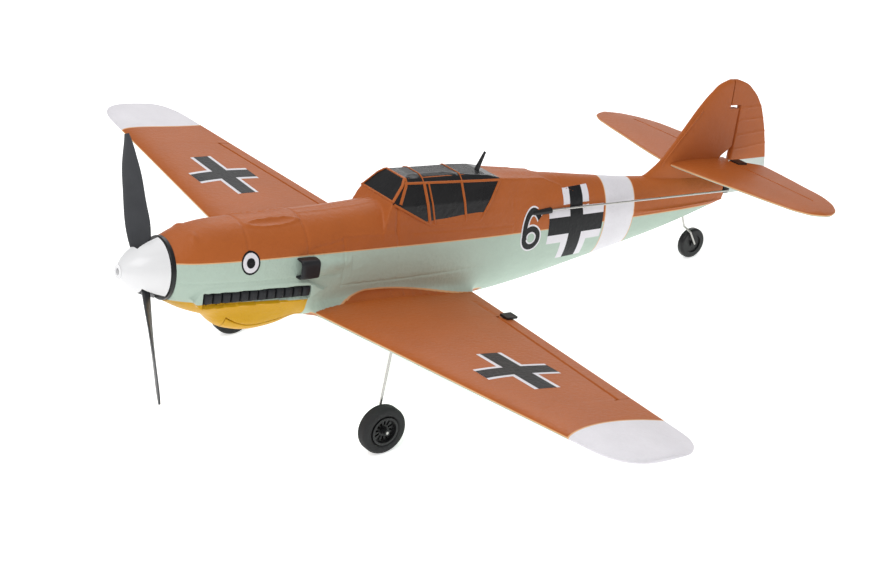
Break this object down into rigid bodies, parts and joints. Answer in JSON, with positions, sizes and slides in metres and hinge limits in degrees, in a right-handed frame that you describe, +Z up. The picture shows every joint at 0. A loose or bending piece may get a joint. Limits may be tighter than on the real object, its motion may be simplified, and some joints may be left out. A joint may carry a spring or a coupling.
{
  "type": "rc warbird plane",
  "caption": "Small foam radio-controlled low-wing fighter with a geared two-blade propeller, moving tail surfaces and ailerons, and fixed wire landing gear with spinning wheels.",
  "frame": {"origin": "on the ground under the middle of the aircraft's box, with all three wheels on the ground", "axes": "+X to the port wing tip, +Y towards the tail, +Z up; the nose points to -Y and is raised by the tail-down stance"},
  "size_m": [0.416, 0.3562, 0.1267],
  "materials": {
    "fuselage_foam": "satin painted moulded foam, rust brown over pale grey-green",
    "wing_foam": "satin painted moulded foam, rust brown with white tips",
    "tail_foam": "satin painted moulded foam, rust brown",
    "canopy_paint": "satin brown paint and matte black roof",
    "canopy_black": "gloss black",
    "black_plastic": "moulded satin black",
    "propeller_nylon": "moulded dark grey",
    "spinner_white": "satin white",
    "steel_wire": "bright drawn wire",
    "brass": "turned",
    "motor_can": "plated can",
    "gear_nylon": "moulded natural nylon",
    "circuit_board": "solder-masked board",
    "ply": "thin plywood",
    "battery_wrap": "shrink wrap",
    "servo_case": "translucent-look moulded case",
    "magnet": "nickel plated",
    "carbon": "pultruded carbon",
    "wheel_plastic": "moulded black",
    "tyre_rubber": "soft black"
  },
  "bodies": {
    "airframe": {"fuselage_left": "fuselage_foam", "fuselage_right": "fuselage_foam", "wing_left": "wing_foam", "wing_right": "wing_foam", "wing_spar": "carbon", "tailplane": "tail_foam", "vertical_fin": "tail_foam", "canopy_frame": "canopy_paint", "canopy_panes": "canopy_black", "antenna_mast": "black_plastic", "exhaust_left": "black_plastic", "exhaust_right": "black_plastic", "intake_scoop": "black_plastic", "nose_ring": "black_plastic", "gearbox_frame": "black_plastic", "motor": "motor_can", "shaft_bearings": "brass", "flight_board": "circuit_board", "equipment_tray": "ply", "battery": "battery_wrap", "bay_magnet": "magnet", "elevator_servo": "servo_case", "rudder_servo": "servo_case", "aileron_servo": "servo_case", "gear_leg_left": "steel_wire", "gear_leg_right": "steel_wire", "gear_sockets": "black_plastic", "tail_gear_wire": "steel_wire", "pushrod_guides": "black_plastic", "wheel_collars": "wheel_plastic"},
    "propeller_set": {"propeller": "propeller_nylon", "spinner": "spinner_white", "prop_screw": "steel_wire", "prop_shaft": "steel_wire", "spur_gear": "gear_nylon"},
    "pinion_set": {"pinion": "brass"},
    "elevator_set": {"elevator_left": "tail_foam", "elevator_right": "tail_foam", "elevator_joiner": "steel_wire", "elevator_horn": "black_plastic"},
    "rudder_set": {"rudder": "tail_foam", "rudder_horn": "black_plastic"},
    "elevator_rod": {"elevator_pushrod": "steel_wire"},
    "rudder_rod": {"rudder_pushrod": "steel_wire"},
    "elevator_arm": {"elevator_servo_arm": "black_plastic"},
    "rudder_arm": {"rudder_servo_arm": "black_plastic"},
    "aileron_arm": {"aileron_servo_arm": "black_plastic"},
    "aileron_left_set": {"aileron_left": "wing_foam", "aileron_horn_left": "black_plastic"},
    "aileron_right_set": {"aileron_right": "wing_foam", "aileron_horn_right": "black_plastic"},
    "aileron_rod_left": {"aileron_pushrod_left": "steel_wire"},
    "aileron_rod_right": {"aileron_pushrod_right": "steel_wire"},
    "hatch": {"battery_hatch": "fuselage_foam", "hatch_magnet": "magnet"},
    "wheel_left": {"wheel_hub_left": "wheel_plastic", "wheel_tyre_left": "tyre_rubber"},
    "wheel_right": {"wheel_hub_right": "wheel_plastic", "wheel_tyre_right": "tyre_rubber"},
    "tail_wheel_set": {"tail_wheel": "wheel_plastic"}
  },
  "joints": [
    {"name": "propeller_spin", "type": "hinge", "parent": "airframe", "child": "propeller_set", "pos_m": [0, -0.16659, 0.07813], "axis": [0, 0.9833, -0.1817], "continuous": true},
    {"name": "pinion_spin", "type": "hinge", "parent": "airframe", "child": "pinion_set", "pos_m": [0, -0.15217, 0.06647], "axis": [0, 0.9833, -0.1817], "continuous": true},
    {"name": "elevator_hinge", "type": "hinge", "parent": "airframe", "child": "elevator_set", "pos_m": [0, 0.1456, 0.04891], "axis": [1, 0, 0], "range_deg": [-20, 20]},
    {"name": "rudder_hinge", "type": "hinge", "parent": "airframe", "child": "rudder_set", "pos_m": [0, 0.15186, 0.04978], "axis": [0, 0.1817, 0.9833], "range_deg": [-25, 25]},
    {"name": "aileron_left_hinge", "type": "hinge", "parent": "airframe", "child": "aileron_left_set", "pos_m": [0.051, -0.02865, 0.03544], "axis": [0.9681, -0.2001, 0.1509], "range_deg": [-18, 18]},
    {"name": "aileron_right_hinge", "type": "hinge", "parent": "airframe", "child": "aileron_right_set", "pos_m": [-0.051, -0.02865, 0.03544], "axis": [0.9681, 0.2001, -0.1509], "range_deg": [-18, 18]},
    {"name": "elevator_rod_slide", "type": "slide", "parent": "airframe", "child": "elevator_rod", "axis": [0.005, 0.9891, -0.1472], "range_m": [-0.0046, 0.0046]},
    {"name": "rudder_rod_slide", "type": "slide", "parent": "airframe", "child": "rudder_rod", "axis": [-0.005, 0.9891, -0.1472], "range_m": [-0.0048, 0.0048]},
    {"name": "aileron_rod_left_slide", "type": "slide", "parent": "airframe", "child": "aileron_rod_left", "axis": [0, 0.9833, -0.1817], "range_m": [-0.0026, 0.0026]},
    {"name": "aileron_rod_right_slide", "type": "slide", "parent": "airframe", "child": "aileron_rod_right", "axis": [0, 0.9833, -0.1817], "range_m": [-0.0026, 0.0026]},
    {"name": "elevator_arm_hinge", "type": "hinge", "parent": "airframe", "child": "elevator_arm", "pos_m": [0.0086, -0.04949, 0.05802], "axis": [1, 0, 0], "range_deg": [-33, 33]},
    {"name": "rudder_arm_hinge", "type": "hinge", "parent": "airframe", "child": "rudder_arm", "pos_m": [-0.0086, -0.04949, 0.05802], "axis": [1, 0, 0], "range_deg": [-34, 34]},
    {"name": "aileron_arm_hinge", "type": "hinge", "parent": "airframe", "child": "aileron_arm", "pos_m": [0, -0.01062, 0.02073], "axis": [0, 0.1817, 0.9833], "range_deg": [-24, 24]},
    {"name": "battery_hatch_hinge", "type": "hinge", "parent": "airframe", "child": "hatch", "pos_m": [0, -0.1381, 0.04521], "axis": [-1, 0, 0], "range_deg": [0, 80]},
    {"name": "wheel_left_spin", "type": "hinge", "parent": "airframe", "child": "wheel_left", "pos_m": [0.0633, -0.09612, 0.0104], "axis": [1, 0, 0], "continuous": true},
    {"name": "wheel_right_spin", "type": "hinge", "parent": "airframe", "child": "wheel_right", "pos_m": [-0.0633, -0.09612, 0.0104], "axis": [1, 0, 0], "continuous": true},
    {"name": "tail_wheel_spin", "type": "hinge", "parent": "airframe", "child": "tail_wheel_set", "pos_m": [0, 0.13087, 0.0077], "axis": [1, 0, 0], "continuous": true}
  ],
  "couplings": [
    {"joint": "pinion_spin", "follows": "propeller_spin", "ratio": -5.5556},
    {"joint": "elevator_rod_slide", "follows": "elevator_hinge", "m_per_rad": 0.0125},
    {"joint": "elevator_arm_hinge", "follows": "elevator_hinge", "ratio": -1.5625},
    {"joint": "rudder_rod_slide", "follows": "rudder_hinge", "m_per_rad": -0.0103},
    {"joint": "rudder_arm_hinge", "follows": "rudder_hinge", "ratio": 1.2875},
    {"joint": "aileron_right_hinge", "follows": "aileron_left_hinge", "ratio": -1},
    {"joint": "aileron_rod_left_slide", "follows": "aileron_left_hinge", "m_per_rad": 0.0076},
    {"joint": "aileron_rod_right_slide", "follows": "aileron_left_hinge", "m_per_rad": -0.0076},
    {"joint": "aileron_arm_hinge", "follows": "aileron_left_hinge", "ratio": 1.2667}
  ]
}
